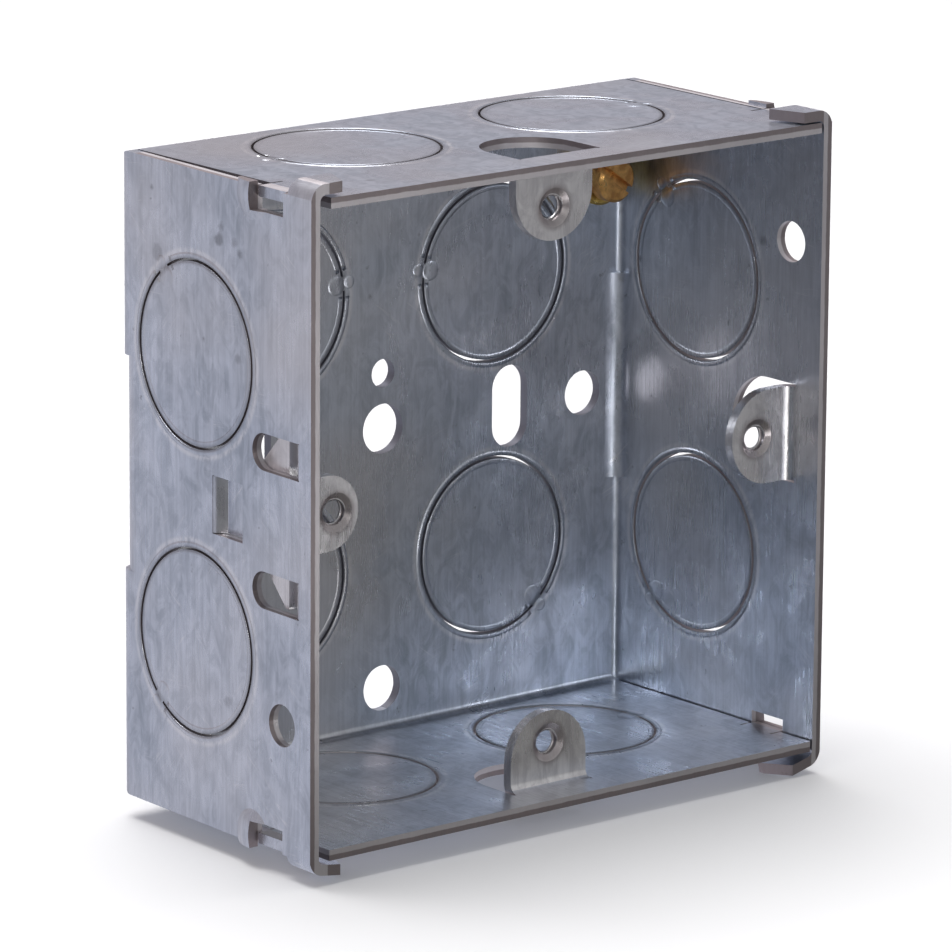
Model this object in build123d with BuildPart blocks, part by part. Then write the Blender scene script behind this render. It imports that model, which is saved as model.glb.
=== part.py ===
"""Flush metal back box for one wiring accessory, 35 mm deep, folded from one zinc-coated sheet.

Frame in millimetres: +X right, +Y into the wall, +Z up. The origin is the middle of the back's
outer face, so the back lies on y = 0 and the open front looks along -Y.
"""
from build123d import *
from math import atan2, cos, degrees, radians, sin, tan
import os

# Driving dimensions of the box
WIDTH = 72.5
HEIGHT = 72.5
DEPTH = 35.5
SHEET = 1.2
BEND_R = 2.0  # outside radius of the folds along the back
SOFT_BEND_R = 3.2  # outside radius along the middle of the two upright folds
SOFT_BEND_LOW = -10.6
SOFT_BEND_HIGH = 13.6
SOFT_BEND_REACH = 5.0  # how far from the corner the softer stretch is drawn
SEAM = 0.3  # gap beside the top and bottom walls, which stand between the side walls
LEAN = 1.15  # the left wall has sprung open by this much at its front edge

# Fixing lugs for the faceplate screws
LUG_PITCH = 60.3
LUG_SETBACK = 4.85  # front edge of the box to the front face of a lug
LUG_WIDTH = 10.8
LUG_TIP = 26.5  # from the middle of the box to the tip of a lug
LUG_BEND_R = 1.0  # inside radius of the lug's fold
TAP_HOLE_D = 3.0
TAP_MOUTH_D = 4.4
TAP_MOUTH_ANGLE = 118.0
LUG_HOLE_END = -21.0  # y of the round end of the hole that a lug was cut from
LUG_HOLE_WIDTH = 11.4

# Knockouts for 20 mm conduit
KNOCKOUT_D = 20.6
KNOCKOUT_PITCH = 32.0
KNOCKOUT_Y = -14.6  # middle of the knockouts in the walls
SHEAR_WIDTH = 0.3
TIE_WIDTH = 1.6  # stretch of the ring left whole

# Holes in the back: diameter, x, z
BACK_HOLES = [
    (5.75, 0.0, 0.0),
    (3.3, 0.0, 6.4),
    (5.3, 0.0, -30.3),
    (5.3, 0.0, 30.3),
    (5.25, 29.5, 0.0),
    (5.25, -29.5, 0.0),
]
BACK_SLOT_WIDTH = 5.2
BACK_SLOT_LENGTH = 9.6
BACK_SLOT_X = 18.6

# Screw holes near the front of the side walls, diagonally opposite each other
SIDE_HOLE_D = 4.7
SIDE_HOLE_Y = -30.4
SIDE_HOLE_Z = 21.9

# Corner tabs: the side walls' front ends, folded over the top and bottom walls. None is folded quite
# alike: for each, the gap at its fold and how many degrees it stands open
TAB_DEPTH = 4.25
TAB_REACH = 5.6
TAB_SKEW = 1.5
TAB_BEND_R = 0.7
UPPER_LEFT_TAB = (0.35, 1.5)
UPPER_RIGHT_TAB = (0.2, 0.0)
LOWER_LEFT_TAB = (0.12, 8.0)
LOWER_RIGHT_TAB = (0.3, 14.0)

# Corner tongues: the top and bottom walls' ears, locked into notches of the side walls
NOTCH_BACK = -25.2
NOTCH_FRONT = -30.5
NOTCH_DROP = 2.6
TONGUE_PLAY = 0.3
TONGUE_PROUD = 0.35
HOOD_Y = -25.0
HOOD_HALF_LENGTH = 2.8
HOOD_PROUD = 0.75
HOOD_DROP = 1.0  # middle of the bulge below the wall's edge
HOOD_LIP = 0.45  # how far it stands past that edge

# Guide of the adjustable lug, on the left wall
SLOT_Z = 7.6
SLOT_HEIGHT = 4.1
SLOT_BACK = -25.0
SLOT_FRONT = -33.4
RUNNING_GAP = 0.05
KEEPER_PLAY = 0.1
KEEPER_STEP_FRONT = -33.1
KEEPER_STEP_BACK = -31.7
KEEPER_END = -27.2
KEEPER_BEND_R = 1.0
STOP_HALF_HEIGHT = 3.15
STOP_FREE_END = -23.15
STOP_ROOT = -17.7
STOP_STEP = 0.9
STOP_BEND_R = 0.8
STOP_PLAY = 0.08

# Adjustable lug, drawn at the height that it was left at
SLIDER_Z = 0.6
SLIDER_TIP = 27.1  # from the middle of the box
SLIDER_HALF_WIDTH = 4.2
SLIDER_BEND_R = 0.5
SLIDER_REAR = -23.5
SLIDER_REAR_HALF = 3.7
SLIDER_EAR_FRONT = -30.0
SLIDER_EAR_FLAT = 0.6
SLIDER_EAR_HALF = 9.9
SLIDER_FOLD_START = -28.6
SLIDER_RELIEF = 0.4

# Earth terminal in the upper right of the back
EARTH_X = 30.4
EARTH_Z = 25.6
BUSH_D = 6.6
BUSH_HEIGHT = 2.4
BUSH_SPIGOT_D = 5.0
SCREW_D = 3.5
SCREW_HEAD_D = 5.2
SCREW_HEAD_HEIGHT = 2.0
SCREW_GAP = 0.5
SCREW_TAIL = 0.4  # depth of the screw's end below the back's outer face
SCREW_SLOT_WIDTH = 0.9
SCREW_SLOT_DEPTH = 1.1
SCREW_SLOT_ANGLE = -35.0

# Worked out from the above
HALF_W = WIDTH / 2
HALF_H = HEIGHT / 2
MID = SHEET / 2
LUG_Y = -DEPTH + LUG_SETBACK + MID
LUG_FLAT_END = LUG_Y - MID - LUG_BEND_R
HALF_PITCH = KNOCKOUT_PITCH / 2
NOTCH_Y = (NOTCH_BACK + NOTCH_FRONT) / 2
NOTCH_LENGTH = NOTCH_BACK - NOTCH_FRONT
PLATE_X = -HALF_W + SHEET + RUNNING_GAP + MID  # middle of the adjustable lug's plate
KEEPER_X = PLATE_X + SHEET + RUNNING_GAP
SCREW_SEAT = -SHEET - BUSH_HEIGHT - SCREW_GAP  # y of the underside of the screw's head
CORNERS = [(x, z) for x in (-1, 1) for z in (-1, 1)]
LEAN_ANGLE = degrees(atan2(LEAN, DEPTH))
LEAN_SLOPE = tan(radians(LEAN_ANGLE))
LEAN_HINGE = Axis((-HALF_W, 0, 0), (0, 0, -1))
LEFT_FACE = Plane(
    (-HALF_W, 0, 0),
    x_dir=(sin(radians(LEAN_ANGLE)), cos(radians(LEAN_ANGLE)), 0),
    z_dir=(cos(radians(LEAN_ANGLE)), -sin(radians(LEAN_ANGLE)), 0),
)  # the left wall's outer face: first axis to the back, second up, third into the box

# Knockouts of each wall: the plane of its outer face, and each ring's middle with the angle of its tie
KNOCKOUTS = [
    (
        Plane.XZ,
        [
            ((HALF_PITCH, HALF_PITCH), 172),
            ((HALF_PITCH, -HALF_PITCH), -48),
            ((-HALF_PITCH, HALF_PITCH), 8),
            ((-HALF_PITCH, -HALF_PITCH), 228),
        ],
    ),
    (LEFT_FACE, [((KNOCKOUT_Y, HALF_PITCH), 55), ((KNOCKOUT_Y, -HALF_PITCH), -48)]),
    (Plane.YZ.offset(HALF_W), [((KNOCKOUT_Y, HALF_PITCH), 55), ((KNOCKOUT_Y, -HALF_PITCH), -48)]),
    (Plane.XY.offset(HALF_H), [((-HALF_PITCH, KNOCKOUT_Y), 180), ((HALF_PITCH, KNOCKOUT_Y), 0)]),
    (Plane.XY.offset(-HALF_H), [((-HALF_PITCH, KNOCKOUT_Y), 180), ((HALF_PITCH, KNOCKOUT_Y), 0)]),
]


def left_x(y, inset):
    """x of the leaning left wall at a given y, so far inside its outer face."""
    return -HALF_W + inset / cos(radians(LEAN_ANGLE)) + y * LEAN_SLOPE


def leaned(piece):
    """A piece drawn for an upright left wall, turned to where the wall leans."""
    return piece.rotate(LEAN_HINGE, LEAN_ANGLE)


def outline(plane):
    """The box seen from above, its left wall leaning."""
    with BuildSketch(plane) as section:
        with BuildLine():
            Polyline((-HALF_W, 0), (left_x(-DEPTH, 0), -DEPTH), (HALF_W, -DEPTH), (HALF_W, 0), close=True)
        make_face()
    return section.sketch


def seams(plane):
    """Gaps between the side walls and the wall that stands between them; the left one opens forward."""
    seam_x = HALF_W - SHEET - SEAM
    with BuildSketch(plane) as section:
        with BuildLine():
            Polyline(
                (left_x(-BEND_R, SHEET), -BEND_R),
                (left_x(-DEPTH, SHEET), -DEPTH),
                (-seam_x, -DEPTH),
                (-seam_x, -BEND_R),
                close=True,
            )
        make_face()
        with Locations((seam_x, -BEND_R)):
            Rectangle(SEAM, DEPTH - BEND_R, align=(Align.MIN, Align.MAX))
    return section.sketch


def folded(plane, points, radius):
    """Section of a folded strip: straight runs joined by arcs, one sheet thick."""
    with BuildSketch(plane) as section:
        with BuildLine():
            FilletPolyline(*points, radius=radius)
        trace(line_width=SHEET)
    return section.sketch


def lug_hole(plane, along_second):
    """Hole left where a lug was cut out: straight at the lug's fold, round at the other end."""
    length = LUG_HOLE_END - LUG_FLAT_END
    with BuildSketch(plane) as outline:
        with Locations(Location((0, 0, 0), (0, 0, 90 if along_second else 0))):
            with Locations((LUG_HOLE_END - LUG_HOLE_WIDTH / 2, 0)):
                Circle(LUG_HOLE_WIDTH / 2)
                Rectangle(LUG_HOLE_WIDTH, LUG_HOLE_WIDTH, align=(Align.MAX, Align.CENTER))
            with Locations((LUG_FLAT_END + length / 2, 0)):
                Rectangle(length, LUG_HOLE_WIDTH, mode=Mode.INTERSECT)
    return outline.sketch


def sheared_rings(plane, knockouts):
    """Sheared gaps round the knockouts of one wall, each broken where the disc is left tied."""
    with BuildSketch(plane) as rings:
        for spot, tie_angle in knockouts:
            with Locations(spot):
                Circle(KNOCKOUT_D / 2 + SHEAR_WIDTH / 2)
                Circle(KNOCKOUT_D / 2 - SHEAR_WIDTH / 2, mode=Mode.SUBTRACT)
                with PolarLocations(KNOCKOUT_D / 2, 1, start_angle=tie_angle):
                    Rectangle(3 * SHEAR_WIDTH, TIE_WIDTH, mode=Mode.SUBTRACT)
    return rings.sketch


def four_corners(piece):
    """A piece drawn at the upper left corner, with its mirror images at the other three."""
    upper = [piece, piece.mirror(Plane.YZ)]
    return upper + [one.mirror(Plane.XY) for one in upper]


def corner_tab(gap, opened):
    """A side wall's tab at the upper left corner, folded over the top wall and standing open."""
    corner = (-HALF_W + MID, HALF_H + gap + MID)
    length = TAB_REACH - MID
    free_end = (
        corner[0] + length * cos(radians(opened)),
        corner[1] + length * sin(radians(opened)),
    )
    with BuildPart() as tab:
        tab_line = [(corner[0], HALF_H - SHEET), corner, free_end]
        extrude(
            folded(Plane.XZ.offset(DEPTH - TAB_DEPTH), tab_line, TAB_BEND_R + MID),
            amount=TAB_DEPTH + SHEET,
            dir=(0, -1, 0),
        )
        with BuildSketch(Plane.XY.offset(HALF_H)):
            with BuildLine():
                Polyline(
                    (-HALF_W + TAB_REACH + SHEET, -DEPTH + TAB_DEPTH),
                    (-HALF_W + TAB_REACH, -DEPTH + TAB_DEPTH),
                    (-HALF_W + TAB_REACH - TAB_SKEW, -DEPTH),
                    (-HALF_W + TAB_REACH - TAB_SKEW, -DEPTH - SHEET),
                    (-HALF_W + TAB_REACH + SHEET, -DEPTH - SHEET),
                    close=True,
                )
            make_face()
        extrude(amount=4 * SHEET, mode=Mode.SUBTRACT)
    return tab.part


# One fixed lug, drawn on the top wall: it hangs down behind the front edge
with BuildPart() as fixed_lug:
    lug_line = [
        (LUG_FLAT_END - SHEET, HALF_H - MID),
        (LUG_Y, HALF_H - MID),
        (LUG_Y, LUG_TIP),
    ]
    extrude(folded(Plane.YZ, lug_line, LUG_BEND_R + MID), amount=LUG_WIDTH / 2, both=True)
    with BuildSketch(Plane.XZ):
        with Locations((0, LUG_TIP + LUG_WIDTH / 2)):
            Circle(LUG_WIDTH / 2)
            Rectangle(LUG_WIDTH, HEIGHT / 2, align=(Align.CENTER, Align.MIN))
    extrude(amount=DEPTH, both=True, mode=Mode.INTERSECT)
    with Locations(Plane((0, LUG_Y - MID, LUG_PITCH / 2), z_dir=(0, -1, 0))):
        CounterSinkHole(TAP_HOLE_D / 2, TAP_MOUTH_D / 2, 2 * SHEET, TAP_MOUTH_ANGLE)

# The bulge of a side wall beside a corner notch, drawn at the upper left corner: a shallow dome
with BuildPart() as corner_hood:
    dome_r = (HOOD_HALF_LENGTH**2 + HOOD_PROUD**2) / (2 * HOOD_PROUD)
    with Locations((-HALF_W - HOOD_PROUD + dome_r, HOOD_Y, HALF_H - HOOD_DROP)):
        Sphere(dome_r)
    with Locations((-HALF_W + MID, HOOD_Y, HALF_H + HOOD_LIP)):
        Box(
            2 * SHEET,
            2 * HOOD_HALF_LENGTH,
            2 * HOOD_HALF_LENGTH,
            align=(Align.MAX, Align.CENTER, Align.MAX),
            mode=Mode.INTERSECT,
        )

# A keeper that holds the adjustable lug to the left wall: a tongue cut from the wall, stepped
# inward at the front and lying over the lug's ear
with BuildPart() as keeper:
    keeper_line = [
        (-HALF_W + MID, SLOT_FRONT - SHEET),
        (-HALF_W + MID, KEEPER_STEP_FRONT),
        (KEEPER_X, KEEPER_STEP_BACK),
        (KEEPER_X, KEEPER_END),
    ]
    extrude(
        folded(Plane.XY, keeper_line, KEEPER_BEND_R),
        amount=SLOT_HEIGHT / 2 - KEEPER_PLAY,
        both=True,
    )

# The stop behind the adjustable lug: a flap of the left wall pressed in by one sheet
with BuildPart() as stop_flap:
    stop_line = [
        (-HALF_W + MID, STOP_ROOT + SHEET),
        (-HALF_W + MID, STOP_ROOT),
        (PLATE_X, STOP_ROOT - STOP_STEP),
        (PLATE_X, STOP_FREE_END),
    ]
    extrude(folded(Plane.XY, stop_line, STOP_BEND_R), amount=STOP_HALF_HEIGHT, both=True)

# The middle stretch of the two upright folds, which is softer
with BuildPart() as soft_folds:
    extrude(outline(Plane.XY.offset(SOFT_BEND_LOW)), amount=SOFT_BEND_HIGH - SOFT_BEND_LOW)
    fillet(edges().filter_by(Axis.Z).sort_by(Axis.Y)[-2:], radius=SOFT_BEND_R)
    ends = faces().filter_by(Axis.Z)
    offset(amount=-SHEET, openings=[faces().sort_by(Axis.Y)[0], *ends])
    Box(WIDTH - 2 * SOFT_BEND_REACH, 3 * DEPTH, HEIGHT, mode=Mode.SUBTRACT)
    with Locations((0, -SOFT_BEND_REACH, 0)):
        Box(2 * WIDTH, DEPTH, HEIGHT, align=(Align.CENTER, Align.MAX, Align.CENTER), mode=Mode.SUBTRACT)

with BuildPart() as box_shell:
    # Back and four walls, one sheet thick, rounded where they fold from the back
    extrude(outline(Plane.XY.offset(-HALF_H)), amount=HEIGHT)
    fillet(faces().sort_by(Axis.Y)[-1].edges(), radius=BEND_R)
    offset(amount=-SHEET, openings=faces().sort_by(Axis.Y)[0])
    # The middle stretch of the two upright folds is replaced by its softer form
    with Locations(*[(x * WIDTH / 2, 0, (SOFT_BEND_LOW + SOFT_BEND_HIGH) / 2) for x in (-1, 1)]):
        Box(
            2 * SOFT_BEND_REACH,
            2 * SOFT_BEND_REACH,
            SOFT_BEND_HIGH - SOFT_BEND_LOW,
            mode=Mode.SUBTRACT,
        )
    add(soft_folds.part)
    # Seams: the top and bottom walls stand free between the side walls
    for level in (-HALF_H, HALF_H - SHEET - BEND_R):
        extrude(seams(Plane.XY.offset(level)), amount=SHEET + BEND_R, mode=Mode.SUBTRACT)
    # Hoods, notches and tongues that lock the front corners
    for hood in four_corners(corner_hood.part):
        add(leaned(hood) if hood.center().X < 0 else hood)
    with Locations(*[(x * HALF_W, NOTCH_Y, z * HALF_H) for x, z in CORNERS]):
        Box(5 * SHEET, NOTCH_LENGTH, 2 * NOTCH_DROP, mode=Mode.SUBTRACT)
    with Locations(*[(0, NOTCH_Y, z * (HALF_H - MID)) for z in (-1, 1)]):
        Box(WIDTH + 2 * TONGUE_PROUD, NOTCH_LENGTH - 2 * TONGUE_PLAY, SHEET)
    # Holes left by the three fixed lugs, then the lugs: top, right and bottom
    extrude(lug_hole(Plane.XY, True), amount=HEIGHT, both=True, mode=Mode.SUBTRACT)
    extrude(lug_hole(Plane.YZ, False), amount=WIDTH, mode=Mode.SUBTRACT)
    for turn in (0, 90, 180):
        add(fixed_lug.part, rotation=(0, turn, 0))
    # Corner tabs, sheared off level with the front edge
    add(leaned(corner_tab(*UPPER_LEFT_TAB)))
    add(leaned(corner_tab(*LOWER_LEFT_TAB).mirror(Plane.XY)))
    add(corner_tab(*UPPER_RIGHT_TAB).mirror(Plane.YZ))
    add(corner_tab(*LOWER_RIGHT_TAB).mirror(Plane.YZ).mirror(Plane.XY))
    with Locations((0, -DEPTH - SHEET, 0)):
        Box(2 * WIDTH, 2 * SHEET, 2 * HEIGHT, mode=Mode.SUBTRACT)
    # Slots and window of the adjustable lug's guide, then its keepers and stop
    with BuildSketch(LEFT_FACE.offset(-SHEET)):
        with Locations((0, SLOT_Z), (0, -SLOT_Z)):
            with Locations((SLOT_BACK - SLOT_HEIGHT / 2, 0)):
                Circle(SLOT_HEIGHT / 2)
            with Locations((SLOT_FRONT, 0)):
                Rectangle(
                    SLOT_BACK - SLOT_HEIGHT / 2 - SLOT_FRONT,
                    SLOT_HEIGHT,
                    align=(Align.MIN, Align.CENTER),
                )
        with Locations((STOP_ROOT, 0)):
            Rectangle(
                STOP_ROOT - STOP_FREE_END + STOP_PLAY,
                2 * (STOP_HALF_HEIGHT + STOP_PLAY),
                align=(Align.MAX, Align.CENTER),
            )
    extrude(amount=3 * SHEET, mode=Mode.SUBTRACT)
    with Locations((0, 0, SLOT_Z), (0, 0, -SLOT_Z)):
        add(leaned(keeper.part))
    add(leaned(stop_flap.part))
    # Knockouts: two in each wall and four in the back, each sheared through and left tied at one place
    for outer_face, knockouts in KNOCKOUTS:
        extrude(sheared_rings(outer_face, knockouts), amount=2 * SHEET, both=True, mode=Mode.SUBTRACT)
    # Holes and slots in the back, then the screw holes of the side walls
    with BuildSketch(Plane.XZ.offset(-SHEET)):
        for diameter, x, z in BACK_HOLES:
            with Locations((x, z)):
                Circle(diameter / 2)
        with Locations((BACK_SLOT_X, 0), (-BACK_SLOT_X, 0)):
            SlotOverall(BACK_SLOT_LENGTH, BACK_SLOT_WIDTH, rotation=90)
        with Locations((EARTH_X, EARTH_Z)):
            Circle(BUSH_SPIGOT_D / 2)
    extrude(amount=3 * SHEET, mode=Mode.SUBTRACT)
    for outer_face, level in ((LEFT_FACE, -SIDE_HOLE_Z), (Plane.YZ.offset(HALF_W), SIDE_HOLE_Z)):
        with BuildSketch(outer_face):
            with Locations((SIDE_HOLE_Y, level)):
                Circle(SIDE_HOLE_D / 2)
        extrude(amount=2 * SHEET, both=True, mode=Mode.SUBTRACT)
box_shell.part.label = "box_shell"

# The adjustable lug: a plate with two ears along the left wall, and a lug folded from its front
with BuildPart() as adjustable_lug:
    with BuildSketch(LEFT_FACE.offset(SHEET + RUNNING_GAP)):
        with BuildLine():
            half_outline = [
                (SLIDER_REAR, SLIDER_REAR_HALF),
                (SLIDER_EAR_FRONT + SLIDER_EAR_FLAT, SLIDER_EAR_HALF),
                (SLIDER_EAR_FRONT, SLIDER_EAR_HALF),
            ]
            mirrored_outline = [(y, -z) for y, z in reversed(half_outline)]
            Polyline(*half_outline, *mirrored_outline, close=True)
        make_face()
        with Locations((SLIDER_EAR_FRONT - SHEET, 0)):
            Rectangle(
                SLIDER_FOLD_START - SLIDER_EAR_FRONT + SHEET,
                2 * (SLIDER_HALF_WIDTH + SLIDER_RELIEF),
                align=(Align.MIN, Align.CENTER),
                mode=Mode.SUBTRACT,
            )
    extrude(amount=SHEET)
    plate_inset = SHEET + RUNNING_GAP + MID
    plate_start = SLIDER_FOLD_START + SHEET
    flange_line = [
        (left_x(plate_start, plate_inset), plate_start),
        (left_x(LUG_Y, plate_inset), LUG_Y),
        (-SLIDER_TIP, LUG_Y),
    ]
    extrude(
        folded(Plane.XY, flange_line, SLIDER_BEND_R + MID),
        amount=SLIDER_HALF_WIDTH,
        both=True,
    )
    # Round off the tip
    with BuildSketch(Plane.XZ.offset(-LUG_Y - MID)):
        with Locations((-SLIDER_TIP - SLIDER_HALF_WIDTH, 0)):
            Rectangle(
                2 * SLIDER_HALF_WIDTH,
                2 * SLIDER_HALF_WIDTH,
                align=(Align.MIN, Align.CENTER),
            )
            Circle(SLIDER_HALF_WIDTH, mode=Mode.SUBTRACT)
    extrude(amount=SHEET, mode=Mode.SUBTRACT)
    with Locations(Plane((-LUG_PITCH / 2, LUG_Y - MID, 0), z_dir=(0, -1, 0))):
        CounterSinkHole(TAP_HOLE_D / 2, TAP_MOUTH_D / 2, 2 * SHEET, TAP_MOUTH_ANGLE)
adjustable_lug.part = adjustable_lug.part.moved(Location((0, 0, SLIDER_Z)))
adjustable_lug.part.label = "adjustable_lug"

# Brass bush of the earth terminal, its spigot set into the back
with BuildPart() as earth_bush:
    with BuildSketch(Plane.XZ):
        with Locations((EARTH_X, EARTH_Z)):
            Circle(BUSH_SPIGOT_D / 2)
    extrude(amount=SHEET)
    with BuildSketch(Plane.XZ.offset(SHEET)):
        with Locations((EARTH_X, EARTH_Z)):
            Circle(BUSH_D / 2)
    extrude(amount=BUSH_HEIGHT)
    chamfer(faces().sort_by(Axis.Y)[0].edges(), length=0.3)
    with Locations(Plane((EARTH_X, -SHEET - BUSH_HEIGHT, EARTH_Z), z_dir=(0, -1, 0))):
        Hole(SCREW_D / 2)
earth_bush.part.label = "earth_bush"

# Brass cheese-head screw in the bush
with BuildPart() as earth_screw:
    with BuildSketch(Plane.XZ.offset(SCREW_TAIL)):
        with Locations((EARTH_X, EARTH_Z)):
            Circle(SCREW_D / 2)
    extrude(amount=-SCREW_SEAT - SCREW_TAIL)
    with BuildSketch(Plane.XZ.offset(-SCREW_SEAT)):
        with Locations((EARTH_X, EARTH_Z)):
            Circle(SCREW_HEAD_D / 2)
    extrude(amount=SCREW_HEAD_HEIGHT)
    chamfer(faces().sort_by(Axis.Y)[0].edges(), length=0.35)
    with BuildSketch(Plane.XZ.offset(-SCREW_SEAT + SCREW_HEAD_HEIGHT - SCREW_SLOT_DEPTH)):
        with Locations((EARTH_X, EARTH_Z)):
            Rectangle(2 * SCREW_HEAD_D, SCREW_SLOT_WIDTH, rotation=SCREW_SLOT_ANGLE)
    extrude(amount=SCREW_HEAD_HEIGHT, mode=Mode.SUBTRACT)
earth_screw.part.label = "earth_screw"

os.makedirs("parts", exist_ok=True)
for piece in (box_shell, adjustable_lug, earth_bush, earth_screw):
    export_step(piece.part, f"parts/{piece.part.label}.step")
    print(piece.part.label, len(piece.part.solids()), round(piece.part.volume, 1))
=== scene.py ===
# %% [markdown]
# A flush metal back box, seen from its open front. The solids of the box, its loose lug and its earth
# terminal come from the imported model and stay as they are. What this lesson adds is the finish: zinc
# that was rolled on before the sheet was cut, bare cut edges, sheared knockouts, dull brass, and the
# threads in the lugs. Everything is in metres, in the frame of the model.

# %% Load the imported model
import math

import bmesh
import bpy
from mathutils import Matrix, Vector


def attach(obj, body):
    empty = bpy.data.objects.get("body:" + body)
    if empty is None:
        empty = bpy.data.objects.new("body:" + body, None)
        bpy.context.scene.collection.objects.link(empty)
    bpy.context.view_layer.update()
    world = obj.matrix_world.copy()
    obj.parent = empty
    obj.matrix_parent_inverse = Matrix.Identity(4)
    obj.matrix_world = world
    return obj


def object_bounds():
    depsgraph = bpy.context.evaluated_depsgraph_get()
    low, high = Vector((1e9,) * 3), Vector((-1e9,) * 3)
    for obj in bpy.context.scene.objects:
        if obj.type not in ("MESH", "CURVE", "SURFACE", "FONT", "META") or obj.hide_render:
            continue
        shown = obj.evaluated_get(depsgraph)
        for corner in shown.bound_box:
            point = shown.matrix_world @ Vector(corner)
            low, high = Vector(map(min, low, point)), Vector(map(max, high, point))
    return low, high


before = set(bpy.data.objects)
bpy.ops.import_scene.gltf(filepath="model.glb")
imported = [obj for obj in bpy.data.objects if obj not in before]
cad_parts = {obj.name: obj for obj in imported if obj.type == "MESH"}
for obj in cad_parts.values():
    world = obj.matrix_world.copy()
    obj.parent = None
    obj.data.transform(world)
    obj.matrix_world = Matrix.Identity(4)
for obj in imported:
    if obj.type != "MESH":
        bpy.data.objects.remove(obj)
cad_low, cad_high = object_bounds()
MM = 0.001
print("nodes:", sorted(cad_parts))
print("box in mm:", [round(v / MM, 2) for v in cad_high - cad_low])

# %% [markdown]
# The camera stands to the left of the open front and a little above it, far away with a long lens, so
# the box has hardly any perspective. Its place is given as angles round a point inside the box: an
# azimuth, an elevation, a distance, and a small roll because the camera wasn't quite level.

# %% Camera
AZIMUTH = math.radians(-39.66)
ELEVATION = math.radians(13.64)
ROLL = math.radians(0.445)
DISTANCE = 780.5 * MM
AIM = Vector((0.59, -17.0, -2.56)) * MM
FOCAL_LENGTH = 265.4

backward = Vector(
    (
        math.sin(AZIMUTH) * math.cos(ELEVATION),
        -math.cos(AZIMUTH) * math.cos(ELEVATION),
        math.sin(ELEVATION),
    )
)
level_right = (-backward).cross(Vector((0, 0, 1))).normalized()
level_up = level_right.cross(-backward)
right = level_right * math.cos(ROLL) + level_up * math.sin(ROLL)
up = level_up * math.cos(ROLL) - level_right * math.sin(ROLL)

camera_data = bpy.data.cameras.new("camera")
camera_data.sensor_width = 36.0
camera_data.lens = FOCAL_LENGTH
camera_data.clip_start = 0.05
camera_data.clip_end = 20.0
camera = bpy.data.objects.new("camera", camera_data)
bpy.context.scene.collection.objects.link(camera)
turn = Matrix((right, up, backward)).transposed().to_4x4()
camera.matrix_world = Matrix.Translation(AIM + backward * DISTANCE) @ turn
bpy.context.scene.camera = camera
print("camera at mm:", [round(v / MM, 1) for v in camera.matrix_world.translation])

# %% [markdown]
# Zinc shows mostly what it reflects, so the room matters more than the lamps. The floor is matt and
# pale. A white floor would make every wall glare, so grey cards lie on it, as in a photographer's
# studio. In front they are darker further out, which is what the upper half of the inside mirrors. A
# bright strip between them lights the upright folds inside. Cards and strip show in reflections only,
# and the room itself is nearly even, a little cooler in front than behind.

# %% Floor, room and lamps
bpy.context.scene.view_settings.view_transform = "Standard"
LAYER = 0.01 * MM  # space between the floor, the cards and the strip
FLOOR_Z = cad_low.z - 2 * LAYER


def flat_sheet(name, low, high, level, base, glow):
    """Level oblong of the stage, in one matt colour, with a glow of its own."""
    mesh = bpy.data.meshes.new(name)
    corners = [(low[0], low[1], 0), (high[0], low[1], 0), (high[0], high[1], 0), (low[0], high[1], 0)]
    mesh.from_pydata(corners, [], [(0, 1, 2, 3)])
    sheet = bpy.data.objects.new(name, mesh)
    sheet.location.z = level
    bpy.context.scene.collection.objects.link(sheet)
    paint = bpy.data.materials.new(name)
    paint.use_nodes = True
    surface = paint.node_tree.nodes["Principled BSDF"]
    surface.inputs["Base Color"].default_value = (base, base, base, 1)
    surface.inputs["Roughness"].default_value = 0.9
    surface.inputs["Specular IOR Level"].default_value = 0.1
    surface.inputs["Emission Color"].default_value = glow
    surface.inputs["Emission Strength"].default_value = 1.0
    mesh.materials.append(paint)
    return sheet


FLOOR_END = 3.0
flat_sheet("floor", (-FLOOR_END, -FLOOR_END), (FLOOR_END, FLOOR_END), FLOOR_Z, 0.86, (0, 0, 0, 1))
CARDS = [
    # name, two opposite corners in metres, glow
    ("card behind", (-1.2, -0.035), (1.2, 2.4), (0.57, 0.57, 0.63, 1)),
    ("near card at the left", (-1.2, -0.13), (0.1, -0.035), (0.16, 0.16, 0.16, 1)),
    ("near card at the right", (0.1, -0.13), (1.2, -0.035), (0.38, 0.38, 0.39, 1)),
    ("far card at the left", (-1.2, -2.4), (0.1, -0.13), (0.07, 0.07, 0.08, 1)),
    ("far card at the right", (0.1, -2.4), (1.2, -0.13), (0.23, 0.23, 0.24, 1)),
]
CARD_LEVEL = FLOOR_Z + LAYER
STRIP = ("strip in front", (-0.03, -2.4), (0.03, -0.11), (2.9, 2.9, 2.95, 1))
for name, low, high, glow in (*CARDS, STRIP):
    level = CARD_LEVEL + (LAYER if name == STRIP[0] else 0.0)
    card = flat_sheet(name, low, high, level, 0.0, glow)
    card.visible_camera = False
    card.visible_diffuse = False
    card.visible_shadow = False

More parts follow.
